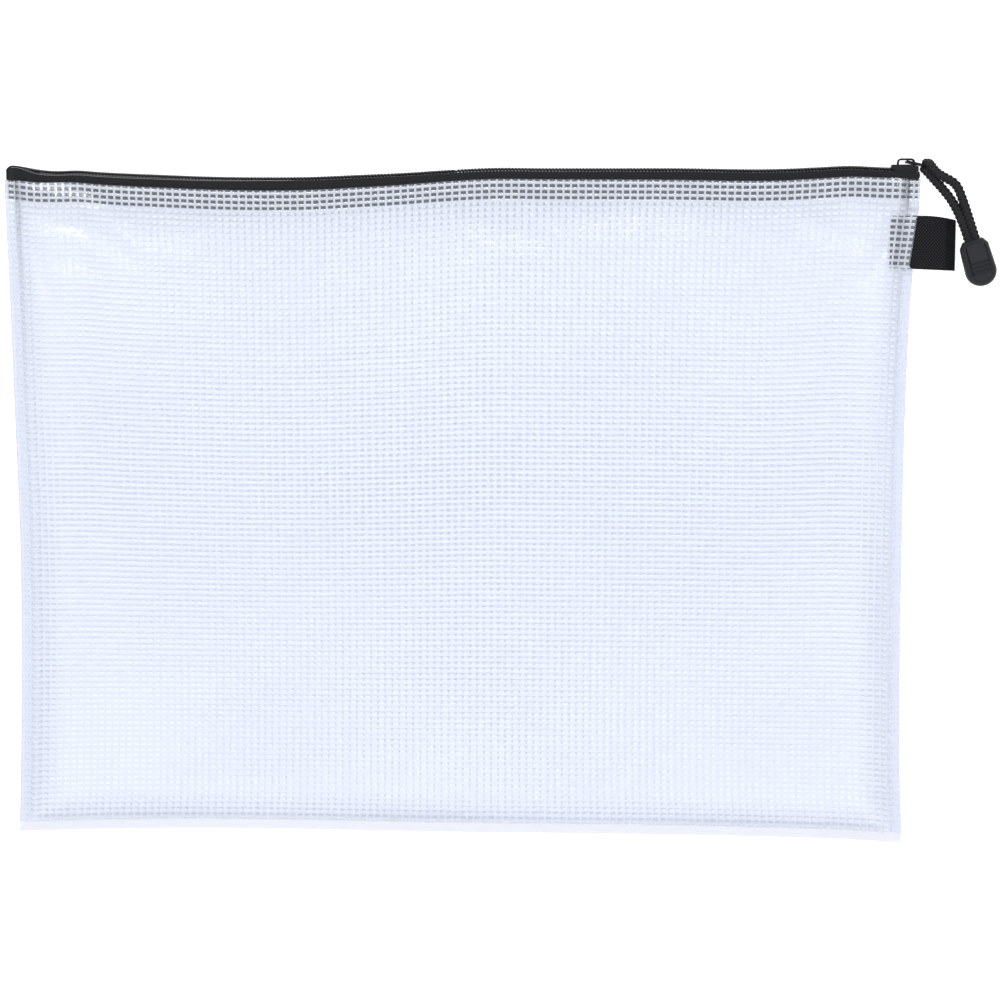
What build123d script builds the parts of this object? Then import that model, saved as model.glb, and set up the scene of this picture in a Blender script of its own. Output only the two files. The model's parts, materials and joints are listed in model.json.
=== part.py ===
from build123d import *
import os
from math import cos, radians, sin, tan

# A zip-top document wallet of two mesh-reinforced clear sheets, welded on three sides.
# It lies on its back sheet: X runs along the zip, Y towards the zip, Z up out of the front sheet.
# All sizes are millimetres, and the origin is the middle of the face that it rests on.

# Every cut reaches this far past what it cuts
overrun = 5.0

# Wallet sheets
wallet_width = 354.0
wallet_height = 264.0
side_bow = 3.4
bottom_bow = 2.0
sheet_thickness = 0.4
weld_width = 4.0
weld_gap = 0.1
side_slope_at_mouth = 2.0
side_slope_at_bottom = 14.0
bottom_slope = 12.0

# Zip tapes
tape_thickness = 0.45
tape_gap = 1.4
tape_show = 2.7
tape_underlap = 7.2
tape_end_margin = 0.4
tape_bend_radius = 0.9
tape_corner_radius = 2.4
tape_side_clearance = 1.2
tape_seat_clearance = 0.05

# Zip coil, one comb of teeth on each tape
coil_height = 1.45
coil_pitch = 1.3
coil_tooth_width = 0.45
coil_tooth_root = 1.15
coil_tooth_reach = 0.75
coil_outer_edge = 2.05
coil_end_margin = 3.0
coil_post_clearance = 1.6

# Zip slider
slider_length = 11.0
slider_end_margin = 0.2
slider_width = 5.5
slider_tail_width = 4.4
slider_shoulder = 4.2
slider_corner_radius = 0.8
slider_plate = 1.2
slider_inner_plate = 1.0
slider_inner_setback = 0.3
slider_flange = 0.45
slider_clearance = 0.2
slider_nose_setback = 0.9
slider_nose_thickness = 0.45
slider_nose_length = 2.6
post_length = 2.2
post_width = 1.0
post_setback = 2.1
bridge_length = 6.8
bridge_setback = 2.1
bridge_width = 1.6
bridge_strap = 0.7
bridge_window = 1.75
bridge_corner_radius = 1.5

# Pull tab, hung on the bridge by a round bar
tab_droop = 12.5
tab_length = 9.6
tab_width = 4.6
tab_thickness = 0.8
tab_bar_diameter = 1.0
tab_bar_clearance = 0.1
tab_bar_inset = 3.8
tab_slot_length = 4.2
tab_slot_clearance = 0.25
tab_eye_place = 7.1
tab_eye_clearance = 0.4
tab_corner_radius = 1.6

# Pull cord, a loop of round braid from the tip through the eye and back, placed from the eye
cord_diameter = 2.3
cord_sides = 12
cord_spacing = 2.6
cord_socket_clearance = 0.1
cord_socket_depth = 3.0
cord_bend_share = 0.45
cord_route = [
    (19.39, -30.55, 6.85),
    (16.92, -23.06, 6.87),
    (12.62, -11.01, 6.95),
    (10.52, -6.86, 7.05),
    (6.27, -4.66, 7.05),
    (3.27, -2.91, 6.75),
    (1.42, -0.31, 5.35),
    (0.67, 1.54, 3.10),
    (0.43, 1.67, 0.83),
    (0, 0, -0.26),
    (-0.43, -1.67, 0.83),
    (-0.18, -1.71, 3.05),
    (0.62, -2.96, 4.60),
    (2.67, -5.36, 5.20),
    (6.02, -9.06, 5.80),
    (10.22, -14.41, 6.45),
    (14.62, -23.91, 6.83),
    (16.89, -31.31, 6.85),
]

# Moulded grip on the cord's end
tip_reach = 17.27
tip_drop = 28.11
tip_lean = 17.0
tip_length = 18.0
tip_width = 11.7
tip_neck_width = 7.2
tip_shoulder = 2.5
tip_shoulder_width = 10.8
tip_thickness = 5.2
tip_edge_bevel = 1.2
tip_travel_clearance = 0.4
tip_panel_width = 7.2
tip_panel_start = 1.4
tip_panel_length = 12.0
tip_panel_rise = 0.4
tip_panel_radius = 0.5
tip_groove_count = 3
tip_groove_pitch = 1.55
tip_groove_width = 0.6
tip_groove_depth = 0.4
tip_groove_end = 1.3

# Woven ribbon, folded double and caught in the right-hand weld
ribbon_width = 20.0
ribbon_leaf = 0.6
ribbon_fold_gap = 0.3
ribbon_reach = 13.8
ribbon_hold = 11.0
ribbon_below_hem = 13.7
ribbon_clearance = 0.15
ribbon_side_clearance = 0.6
ribbon_ramp = 3.0

# Levels that follow from the sizes above
half_width = wallet_width / 2
top_edge = wallet_height / 2
bottom_edge = -wallet_height / 2
tape_top = top_edge - coil_height
tape_under = tape_top - tape_thickness
hem = tape_top - tape_show
tape_foot = hem - tape_underlap
tape_inside = slider_width / 2 + slider_clearance
tape_outside = tape_inside + tape_thickness
seam_height = tape_outside + tape_seat_clearance + sheet_thickness
sheet_foot = seam_height + weld_gap / 2
front_face = 2 * seam_height
seam_plane = Plane.XY.offset(seam_height)
slider_right = half_width - slider_end_margin
slider_left = slider_right - slider_length
plate_under = top_edge + slider_clearance
plate_top = plate_under + slider_plate
bridge_left = slider_left + bridge_setback
bar_x = bridge_left + tab_bar_inset
bar_y = plate_top + bridge_window - tab_bar_clearance - tab_bar_diameter / 2
eye_x = bar_x + tab_eye_place * cos(radians(tab_droop))
eye_y = bar_y - tab_eye_place * sin(radians(tab_droop))
ribbon_thickness = 2 * ribbon_leaf + ribbon_fold_gap
ribbon_top = hem - ribbon_below_hem
ribbon_middle = ribbon_top - ribbon_width / 2


def mirrored(piece):
    """The same piece on the other side of the seam."""
    return mirror(piece, about=seam_plane)


def sheet_outline(inset, side_slope_bottom, side_slope_top, bottom_inset, top):
    """A sheet's outline inset from the wallet's edge, with its sides and bottom drawn in."""
    low = bottom_edge + bottom_inset
    low_half = half_width - inset - side_slope_bottom
    top_half = half_width - inset - side_slope_top
    waist = (low_half + top_half) / 2 - side_bow
    middle = (low + top) / 2
    bottom = ThreePointArc((-low_half, low), (0, low + bottom_bow), (low_half, low))
    right = ThreePointArc((low_half, low), (waist, middle), (top_half, top))
    mouth = Line((top_half, top), (-top_half, top))
    left = ThreePointArc((-top_half, top), (-waist, middle), (-low_half, low))
    return make_face([bottom, right, mouth, left])


def make_panel():
    """The front sheet: a shallow tray that is open at the mouth, with a flat weld round it."""
    top = hem + overrun
    edge = sheet_outline(0, 0, 0, 0, top)
    foot = sheet_outline(weld_width, 0, 0, weld_width, top)
    face = sheet_outline(
        weld_width, side_slope_at_bottom, side_slope_at_mouth, weld_width + bottom_slope, top
    )
    tray = loft([Pos(0, 0, sheet_foot) * foot, Pos(0, 0, front_face) * face], ruled=True)
    weld = extrude(Pos(0, 0, sheet_foot) * edge, sheet_thickness)
    cover = ribbon_cover(sheet_thickness)
    outside = extrude(Pos(0, 0, sheet_foot) * edge, front_face - sheet_foot)
    hollow = Pos(0, 0, -sheet_thickness) * tray
    panel = weld + tray + (cover & outside) - hollow - ribbon_cover(0)
    past_hem = Box(
        wallet_width + overrun, 2 * overrun, 2 * front_face, align=(Align.CENTER, Align.MIN, Align.CENTER)
    )
    return panel - Pos(0, hem, seam_height) * past_hem


def ribbon_cover(rise):
    """The hump that a sheet makes where the ribbon passes through its weld."""
    height = seam_height + ribbon_thickness / 2 + ribbon_clearance + rise
    half = ribbon_width / 2 + ribbon_side_clearance + rise
    foot = sheet_foot + rise - sheet_thickness
    profile = Polyline(
        (ribbon_middle - half - ribbon_ramp, foot),
        (ribbon_middle - half, height),
        (ribbon_middle + half, height),
        (ribbon_middle + half + ribbon_ramp, foot),
        close=True,
    )
    start = half_width - weld_width - side_bow
    return Pos(start, 0, 0) * extrude(Plane.YZ * make_face(profile), weld_width + side_bow + overrun)


def make_tape():
    """The front tape: flat across the mouth, then bent down behind the hem of the front sheet."""
    inner_edge = seam_height + tape_gap / 2
    outside = seam_height + tape_outside
    inside = seam_height + tape_inside
    section = make_face(
        Polyline(
            (tape_top, inner_edge),
            (tape_top, outside),
            (tape_foot, outside),
            (tape_foot, inside),
            (tape_under, inside),
            (tape_under, inner_edge),
            close=True,
        )
    )
    outer_bend = section.vertices().sort_by_distance((tape_top, outside))[0]
    section = fillet(outer_bend, tape_bend_radius)
    inner_bend = section.vertices().sort_by_distance((tape_under, inside))[0]
    section = fillet(inner_bend, tape_bend_radius - tape_thickness)
    half_length = half_width - tape_end_margin
    tape = extrude(Plane.YZ * section, half_length, both=True)
    inside_half = half_width - weld_width - side_slope_at_mouth - tape_side_clearance
    end_cut = Box(overrun * 2, tape_underlap + overrun, front_face, align=(Align.MIN, Align.MAX, Align.MIN))
    tape -= Pos(inside_half, hem, 0) * end_cut
    tape -= mirror(Pos(inside_half, hem, 0) * end_cut, about=Plane.YZ)
    square = Rectangle(tape_corner_radius, tape_corner_radius, align=(Align.MIN, Align.MAX))
    corner = square - Pos(tape_corner_radius, -tape_corner_radius) * Circle(tape_corner_radius)
    return tape - extrude(Pos(-half_length, tape_top) * corner, front_face)


def make_coil():
    """The front comb of the coil: teeth that cross the middle from a spine on the tape."""
    start = -half_width + coil_end_margin
    stop = slider_right - post_setback - post_length - coil_post_clearance
    count = int((stop - start) / coil_pitch)
    root = seam_height + coil_tooth_root
    reach = seam_height - coil_tooth_reach
    spine = seam_height + coil_outer_edge
    points = []
    for tooth in range(count):
        left = start + tooth * coil_pitch
        right = left + coil_tooth_width
        points += [(left, root), (left, reach), (right, reach), (right, root)]
    points[0] = (start, spine)
    points[-1] = (right, spine)
    comb = make_face(Polyline(*points, close=True))
    upright = Plane((0, tape_top, 0), x_dir=(1, 0, 0), z_dir=(0, 1, 0))
    flipped = mirror(comb, about=Plane.XZ)
    return extrude(upright * flipped, coil_height)


def slider_outline(length):
    """A slider plate seen from above the zip: a narrow tail that widens to the shoulders."""
    tail = slider_tail_width / 2
    wide = slider_width / 2
    points = [(0, -tail), (slider_shoulder, -wide), (length, -wide)]
    points += [(x, -z) for x, z in reversed(points)]
    plate = make_face(Polyline(*points, close=True))
    return fillet(plate.vertices(), slider_corner_radius)


def make_slider():
    """The slider: two plates joined by a post, side flanges round the coil, and a bridge."""
    upright = Plane((slider_left, 0, seam_height), x_dir=(1, 0, 0), z_dir=(0, 1, 0))
    outer_length = slider_length - slider_nose_setback
    channel = plate_under - tape_top - slider_clearance
    outer = extrude(upright.offset(plate_under) * slider_outline(outer_length), slider_plate)
    skirt = extrude(upright.offset(plate_under) * slider_outline(outer_length), -channel)
    bore = slider_width - 2 * slider_flange
    hollow = Box(
        slider_length + 2 * overrun, channel, bore, align=(Align.MIN, Align.MAX, Align.CENTER)
    )
    skirt -= Pos(slider_left - overrun, plate_under, seam_height) * hollow
    nose_start = slider_left + outer_length - slider_nose_length
    nose = Polyline(
        (nose_start, plate_top),
        (nose_start + slider_nose_length, plate_under + slider_nose_thickness),
        (nose_start + slider_nose_length + overrun, plate_under + slider_nose_thickness),
        (nose_start + slider_nose_length + overrun, plate_top + overrun),
        (nose_start, plate_top + overrun),
        close=True,
    )
    outer -= Pos(0, 0, seam_height) * extrude(make_face(nose), slider_width, both=True)
    inner_top = tape_under - slider_clearance
    inner_length = slider_length - slider_inner_setback
    inner = extrude(upright.offset(inner_top) * slider_outline(inner_length), -slider_inner_plate)
    post_place = Pos(slider_length - post_setback - post_length / 2, 0)
    post_slot = post_place * SlotOverall(post_length, post_width)
    post = extrude(upright.offset(inner_top) * post_slot, plate_under - inner_top)
    return outer + skirt + inner + post + make_bridge()


def make_bridge():
    """The arched strap on the outer plate that the pull tab hangs from."""
    window_top = plate_top + bridge_window
    strap_top = window_top + bridge_strap
    right = bridge_left + bridge_length
    foot = plate_top - bridge_strap
    arch = make_face(
        Polyline(
            (bridge_left, foot), (bridge_left, strap_top), (right, strap_top), (right, foot), close=True
        )
    )
    arch = fillet(arch.vertices().group_by(Axis.Y)[-1], bridge_corner_radius)
    window = make_face(
        Polyline(
            (bridge_left + bridge_strap, plate_top),
            (bridge_left + bridge_strap, window_top),
            (right - bridge_strap, window_top),
            (right - bridge_strap, plate_top),
            close=True,
        )
    )
    window = fillet(window.vertices().group_by(Axis.Y)[-1], bridge_corner_radius - bridge_strap)
    return Pos(0, 0, seam_height) * extrude(arch - window, bridge_width / 2, both=True)


def make_tab():
    """The pull tab: a bar under the bridge, a slot for the bridge and an eye for the cord."""
    half = tab_width / 2
    blade = make_face(
        Polyline((0, -half), (tab_length, -half), (tab_length, half), (0, half), close=True)
    )
    blade = fillet(blade.vertices().group_by(Axis.X)[-1], tab_corner_radius)
    slot_start = tab_bar_diameter / 2
    slot = Rectangle(
        tab_slot_length - slot_start,
        bridge_width + 2 * tab_slot_clearance,
        align=(Align.MIN, Align.CENTER),
    )
    eye = Circle(cord_diameter / 2 + tab_eye_clearance)
    blade -= Pos(slot_start, 0) * slot
    blade -= Pos(tab_eye_place, 0) * eye
    plate = extrude(Plane.XZ * blade, tab_thickness / 2, both=True)
    bar = extrude(Circle(tab_bar_diameter / 2), half, both=True)
    return Pos(bar_x, bar_y, seam_height) * (Rot(0, 0, -tab_droop) * (plate + bar))


def cord_radii(route):
    """The bend radius at each inner point of the cord's route, as large as its runs allow."""
    radii = []
    points = [Vector(*place) for place in route]
    for before, here, after in zip(points, points[1:], points[2:]):
        run_in = here - before
        run_out = after - here
        turn = radians(run_in.get_angle(run_out))
        radii.append(cord_bend_share * min(run_in.length, run_out.length) / tan(turn / 2))
    return radii


def make_cord():
    """The pull cord: one tube along its route, which starts and ends in the grip."""
    route = [(eye_x + x, eye_y + y, seam_height + z) for x, y, z in cord_route]
    radii = cord_radii(route)
    path = FilletPolyline(*route, radius=radii)
    section = Plane(origin=path @ 0, z_dir=path % 0) * RegularPolygon(cord_diameter / 2, cord_sides)
    cord = sweep(section, path=path)
    print("cord length", round(path.length, 2))
    print("cord volume over section times length", round(cord.volume / (section.area * path.length), 4))
    print("cord radii", [round(radius, 2) for radius in radii])
    return cord


def make_tip():
    """The moulded grip that holds both ends of the cord."""
    half = tip_width / 2
    shoulder = tip_shoulder_width / 2
    neck = tip_neck_width / 2
    straight = tip_length - half
    outline = make_face(
        [
            Polyline((-half, -straight), (-shoulder, -tip_shoulder), (-neck, 0)),
            Line((-neck, 0), (neck, 0)),
            Polyline((neck, 0), (shoulder, -tip_shoulder), (half, -straight)),
            ThreePointArc((half, -straight), (0, -tip_length), (-half, -straight)),
        ]
    )
    body = extrude(outline, tip_thickness)
    rims = body.edges().group_by(Axis.Z)
    body = chamfer(rims[0] + rims[-1], tip_edge_bevel)
    panel_end = tip_panel_start + tip_panel_length
    panel = RectangleRounded(tip_panel_width, tip_panel_length, tip_panel_radius)
    panel_base = Pos(0, -tip_panel_start - tip_panel_length / 2, tip_thickness)
    grip = extrude(panel_base * panel, tip_panel_rise)
    grip += extrude(panel_base * panel, -tip_edge_bevel)
    for row in range(tip_groove_count):
        place = panel_end - tip_groove_end - row * tip_groove_pitch
        groove = Box(tip_panel_width + overrun, tip_groove_width, 2 * tip_groove_depth)
        grip -= Pos(0, -place, tip_thickness + tip_panel_rise) * groove
    body += grip
    socket_width = cord_spacing + cord_diameter + 2 * cord_socket_clearance
    socket = SlotOverall(socket_width, cord_diameter + 2 * cord_socket_clearance)
    mouth = Plane((0, overrun, tip_thickness / 2), x_dir=(1, 0, 0), z_dir=(0, -1, 0))
    body -= extrude(mouth * socket, overrun + cord_socket_depth)
    place = Pos(eye_x + tip_reach, eye_y - tip_drop, front_face + tip_travel_clearance)
    return place * (Rot(0, 0, tip_lean) * body)


def make_ribbon():
    """The ribbon tab: a strip folded back on itself, its two ends inside the wallet."""
    outer = ribbon_thickness / 2
    inner = ribbon_fold_gap / 2
    length = ribbon_hold + ribbon_reach - outer
    fold = make_face(
        [
            Line((0, outer), (length, outer)),
            ThreePointArc((length, outer), (length + outer, 0), (length, -outer)),
            Polyline((length, -outer), (0, -outer), (0, -inner), (length, -inner)),
            ThreePointArc((length, -inner), (length + inner, 0), (length, inner)),
            Polyline((length, inner), (0, inner), (0, outer)),
        ]
    )
    strip = extrude(Plane.XZ * fold, ribbon_width / 2, both=True)
    return Pos(half_width - ribbon_hold, ribbon_middle, seam_height) * strip


front_panel = make_panel()
front_tape = make_tape()
front_coil = make_coil()

pieces = {
    "front_panel": front_panel,
    "back_panel": mirrored(front_panel),
    "front_tape": front_tape,
    "back_tape": mirrored(front_tape),
    "front_coil": front_coil,
    "back_coil": Pos(coil_pitch / 2, 0, 0) * mirrored(front_coil),
    "slider_body": make_slider(),
    "pull_tab": make_tab(),
    "pull_cord": make_cord(),
    "cord_tip": make_tip(),
    "ribbon_tab": make_ribbon(),
}

os.makedirs("parts", exist_ok=True)
for name, piece in pieces.items():
    export_step(piece, f"parts/{name}.step")
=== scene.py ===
import json
from math import cos, pi, radians, sin

import bpy
import numpy as np
from bpy.props import FloatProperty, FloatVectorProperty, IntProperty, PointerProperty
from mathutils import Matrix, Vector

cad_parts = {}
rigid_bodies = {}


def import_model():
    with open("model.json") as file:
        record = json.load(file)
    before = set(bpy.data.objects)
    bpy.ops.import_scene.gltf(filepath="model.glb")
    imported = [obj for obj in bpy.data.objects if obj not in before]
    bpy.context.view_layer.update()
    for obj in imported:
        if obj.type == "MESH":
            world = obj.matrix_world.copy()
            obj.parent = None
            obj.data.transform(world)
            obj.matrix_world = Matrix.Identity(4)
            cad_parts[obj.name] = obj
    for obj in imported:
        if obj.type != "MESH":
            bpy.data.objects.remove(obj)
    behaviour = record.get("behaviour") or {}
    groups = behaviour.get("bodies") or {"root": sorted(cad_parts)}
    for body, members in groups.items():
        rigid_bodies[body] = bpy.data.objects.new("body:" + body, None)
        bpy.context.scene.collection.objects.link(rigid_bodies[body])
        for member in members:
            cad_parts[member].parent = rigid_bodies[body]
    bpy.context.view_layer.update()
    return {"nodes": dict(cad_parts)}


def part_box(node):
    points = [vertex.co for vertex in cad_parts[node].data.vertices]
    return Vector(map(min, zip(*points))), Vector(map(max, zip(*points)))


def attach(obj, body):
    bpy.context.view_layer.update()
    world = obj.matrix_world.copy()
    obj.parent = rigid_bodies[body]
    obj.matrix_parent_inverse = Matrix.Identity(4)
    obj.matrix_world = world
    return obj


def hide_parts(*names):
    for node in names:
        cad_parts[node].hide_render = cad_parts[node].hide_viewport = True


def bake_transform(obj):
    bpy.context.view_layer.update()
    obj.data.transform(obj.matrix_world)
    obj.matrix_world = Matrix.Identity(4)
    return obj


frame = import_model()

bl_info = {
    "name": "Zip Document Wallet",
    "version": (1, 0, 0),
    "blender": (4, 5, 0),
    "location": "View3D > Sidebar > Wallet",
    "description": "Dresses the packed zip wallet with film, thread mesh, zip, pull cord and ribbon",
    "category": "Object",
}

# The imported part's box, and the levels that the soft pieces take from its solids, in metres
panel_low, panel_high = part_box("front_panel")
tape_low, tape_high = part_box("front_tape")
coil_low, coil_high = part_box("front_coil")
ribbon_low, ribbon_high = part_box("ribbon_tab")
MM = 0.001
HALF_WIDTH = panel_high.x
BOTTOM = panel_low.y
HEM = panel_high.y
FRONT_FACE = panel_high.z
SEAM = FRONT_FACE / 2
SHEET_FOOT = panel_low.z - SEAM
SHEET_HEIGHT = HEM - BOTTOM

# How the photo shows the sheets' edges drawn in, in millimetres: places along an edge and the draw there
SIDE_PLACES = (-132, -107, -58, -10, 38, 85, 120, 128)
LEFT_DRAW = (0, 1.05, 2.6, 2.9, 2.0, 1.1, 0.1, 0)
RIGHT_DRAW = (1.0, 2.5, 3.6, 3.9, 3.85, 2.6, 0.2, 0)
FOOT_PLACES = (-177, -150, -120, 0, 112, 159, 177)
FOOT_DRAW = (0, 1.2, 2.1, 2.2, 2.1, 1.2, 0.2)
MOUTH_PLACES = (
    (-177, -172, -165, -157, -149, -139, -115, -93, -75, -58)
    + (-40, -23, -5, 12, 35, 80, 126, 138, 150, 163, 177)
)
MOUTH_DIP = (
    (0, -0.4, -1.25, -1.4, -1.3, -2.1, -3.3, -4.15, -4.4, -4.2)
    + (-3.3, -2.3, -0.95, -0.05, -0.1, -0.25, -0.45, 0.2, 0.9, 0.5, 0.1)
)
RISE_PLACES = (-177, -170, -157, -145, -100, -75, -40, -10, 20, 140, 160, 177)
ZIP_RISE = (1.6, 1.6, 0.6, 0.8, 1.1, 1.2, 0.95, 0.5, 0.4, 0.4, 0.1, 0)

# Where the sheet is creased below the zip: the middle and size of each patch, in millimetres
CREASE_PATCHES = (((-152, 112), (30, 20)), ((20, 116), (11, 15)), ((152, 112), (24, 20)))

# Widths of the sheet's slopes inside its welds, each weld's soft edge and the finer divided edge, in metres
SIDE_SLOPE = 14 * MM
MOUTH_SLOPE = 2.5 * MM
FOOT_SLOPE = 12 * MM
WELD_SOFT = 0.6 * MM
FINE_STRETCH = 17 * MM

# The film's hump over the ribbon: its length, its soft inner end and its room over the ribbon, in metres
HUMP_LENGTH = 9 * MM
HUMP_END = 3 * MM
RIBBON_GAP = 0.12 * MM

# A tape's bend at the zip edge, and its thickness, in metres
TAPE_BEND = 0.9 * MM
TAPE_THICKNESS = 0.45 * MM

# Where the front sheet is split into its left, middle and right pieces, in millimetres: there it starts to
# lift from the back one as the mouth opens
LIFT_LEFT = -110.0
LIFT_RIGHT = 160.0

# The cord's route through the tab's eye and back to the grip, as in the part's source, in millimetres
EYE = (178.632, 133.013, 3.85)
CORD_ROUTE = (
    (19.39, -30.55, 6.85),
    (16.92, -23.06, 6.87),
    (12.62, -11.01, 6.95),
    (10.52, -6.86, 7.05),
    (6.27, -4.66, 7.05),
    (3.27, -2.91, 6.75),
    (1.42, -0.31, 5.35),
    (0.67, 1.54, 3.10),
    (0.43, 1.67, 0.83),
    (0, 0, -0.26),
    (-0.43, -1.67, 0.83),
    (-0.18, -1.71, 3.05),
    (0.62, -2.96, 4.60),
    (2.67, -5.36, 5.20),
    (6.02, -9.06, 5.80),
    (10.22, -14.41, 6.45),
    (14.62, -23.91, 6.83),
    (16.89, -31.31, 6.85),
)

# The braid lies pressed to an oval: how wide and how thick it is beside a round one
BRAID_WIDE = 1.72
BRAID_THICK = 0.98

# How far a yarn weaves in and out, in metres
YARN_WAVE = 0.14 * MM

# Where the cord's ends enter the grip, in millimetres, and how far the grip leans, in degrees
GRIP_TOP = (EYE[0] + 17.27, EYE[1] - 28.11, 8.1)
GRIP_LEAN = 17.0

# Where the ribbon starts to droop, over what length, how far, how much further along its upper edge, and
# how high its lower corner stands, in millimetres
DROOP_START = 178.0
DROOP_LENGTH = 13.0
DROOP = 1.1
DROOP_MORE = 0.7
CORNER_LIFT = 0.35

# Length of the ribbon's plain end, in metres
PLAIN_END = 3.8 * MM

# Colour of the ribbon's dots
DOT_COLOUR = (0.03, 0.031, 0.035)

# Sockets of a Mix node that mixes colours: the two colours and the result
MIX_FIRST = 6
MIX_SECOND = 7
MIX_RESULT = 2

# Where the lamps hang and what they point at, in metres
KEY_PLACE = (0.0, 0.28, 1.05)
KEY_AIM = (0.0, 0.1, 0.0)
FILL_PLACE = (0.0, -0.05, 1.1)
FILL_AIM = (0.0, 0.0, 0.0)

# Where the camera stands, in metres, and how it is turned, in degrees
CAMERA_PLACE = (0.05064, 0.08937, 0.79855)
CAMERA_TURN = (-6.149, 2.478, 0.13)


class WalletSheetSettings(bpy.types.PropertyGroup):
    """Sizes and colours of the film and the thread mesh inside it."""

    film_thickness: FloatProperty(
        name="Film thickness",
        description="Thickness of one sheet",
        default=0.4 * MM,
        unit="LENGTH",
        precision=5,
    )
    film_tint: FloatVectorProperty(
        name="Film tint",
        description="Colour of the film's haze",
        default=(0.76, 0.85, 0.99),
        subtype="COLOR",
    )
    film_haze: FloatProperty(
        name="Film haze", description="How much the film hides", default=0.11, min=0, max=1, subtype="FACTOR"
    )
    clear_tint: FloatVectorProperty(
        name="Clear tint",
        description="Colour of light through the film",
        default=(0.952, 0.958, 0.996),
        subtype="COLOR",
    )
    weld_haze: FloatProperty(
        name="Weld haze",
        description="How much a side weld hides",
        default=0.16,
        min=0,
        max=1,
        subtype="FACTOR",
    )
    foot_haze: FloatProperty(
        name="Foot haze",
        description="How much the bottom weld hides",
        default=0.45,
        min=0,
        max=1,
        subtype="FACTOR",
    )
    fused_haze: FloatProperty(
        name="Fused haze",
        description="How much the back of a weld hides",
        default=0.85,
        min=0,
        max=1,
        subtype="FACTOR",
    )
    weld_tint: FloatVectorProperty(
        name="Weld tint", description="Colour of the side welds", default=(0.7, 0.76, 0.88), subtype="COLOR"
    )
    foot_tint: FloatVectorProperty(
        name="Foot tint", description="Colour of the bottom weld", default=(0.82, 0.83, 0.9), subtype="COLOR"
    )
    weld_width: FloatProperty(
        name="Weld width", description="Width of the flat weld", default=4 * MM, unit="LENGTH", precision=5
    )
    mesh_across: FloatProperty(
        name="Mesh across",
        description="Pitch of the upright threads",
        default=2.85 * MM,
        unit="LENGTH",
        precision=5,
    )
    mesh_down: FloatProperty(
        name="Mesh down",
        description="Pitch of the level threads",
        default=2.28 * MM,
        unit="LENGTH",
        precision=5,
    )
    upright_width: FloatProperty(
        name="Upright thread",
        description="Width of an upright thread",
        default=0.85 * MM,
        unit="LENGTH",
        precision=5,
    )
    level_width: FloatProperty(
        name="Level thread",
        description="Width of a level thread",
        default=1.05 * MM,
        unit="LENGTH",
        precision=5,
    )
    thread_colour: FloatVectorProperty(
        name="Thread colour", description="Colour of the mesh", default=(0.95, 0.97, 1.0), subtype="COLOR"
    )
    thread_cover: FloatProperty(
        name="Thread cover",
        description="How much a thread hides",
        default=0.86,
        min=0,
        max=1,
        subtype="FACTOR",
    )
    thread_glow: FloatProperty(
        name="Thread glow",
        description="Share of light let through",
        default=0.3,
        min=0,
        max=1,
        subtype="FACTOR",
    )


class WalletZipSettings(bpy.types.PropertyGroup):
    """Sizes and colours of the zip."""

    tape_colour: FloatVectorProperty(
        name="Tape colour",
        description="Colour of the woven tapes",
        default=(0.0115, 0.012, 0.0135),
        subtype="COLOR",
    )
    # Painted light: the coil's colour is lighter than the tape's to cancel the shade between its turns
    coil_colour_painted_light: FloatVectorProperty(
        name="Coil colour",
        description="Colour of the filament",
        default=(0.02, 0.02, 0.022),
        subtype="COLOR",
    )
    coil_pitch: FloatProperty(
        name="Coil pitch",
        description="Length of one turn of the coil",
        default=1.3 * MM,
        unit="LENGTH",
        precision=5,
    )
    wire_diameter: FloatProperty(
        name="Filament",
        description="Thickness of the coil's filament",
        default=0.56 * MM,
        unit="LENGTH",
        precision=5,
    )
    stitch_pitch: FloatProperty(
        name="Stitch pitch",
        description="Distance between stitches",
        default=0.93 * MM,
        unit="LENGTH",
        precision=5,
    )
    # Painted highlight: the stitches are grey, lighter than the black tape, to stand in for glints along the
    # zip edge
    stitch_glint_colour: FloatVectorProperty(
        name="Stitch colour",
        description="Colour of the sewing thread",
        default=(0.3, 0.3, 0.3),
        subtype="COLOR",
    )
    enamel_colour: FloatVectorProperty(
        name="Enamel",
        description="Colour of the slider and its tab",
        default=(0.01, 0.01, 0.0115),
        subtype="COLOR",
    )


class WalletPullSettings(bpy.types.PropertyGroup):
    """Sizes and colours of the cord, its grip and the ribbon tab."""

    cord_diameter: FloatProperty(
        name="Cord diameter",
        description="Thickness of the braid",
        default=2.3 * MM,
        unit="LENGTH",
        precision=5,
    )
    yarns_each_way: IntProperty(name="Yarns", description="Yarns that run each way round", default=4, min=2)
    braid_lead: FloatProperty(
        name="Braid lead",
        description="Length of one turn of a yarn",
        default=7 * MM,
        unit="LENGTH",
        precision=5,
    )
    cord_colour: FloatVectorProperty(
        name="Cord colour", description="Colour of the braid", default=(0.008, 0.0085, 0.01), subtype="COLOR"
    )
    grip_colour: FloatVectorProperty(
        name="Grip colour",
        description="Colour of the moulded grip",
        default=(0.014, 0.0148, 0.0175),
        subtype="COLOR",
    )
    ribbon_colour: FloatVectorProperty(
        name="Ribbon colour",
        description="Colour of the ribbon",
        default=(0.005, 0.0053, 0.0065),
        subtype="COLOR",
    )


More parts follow.
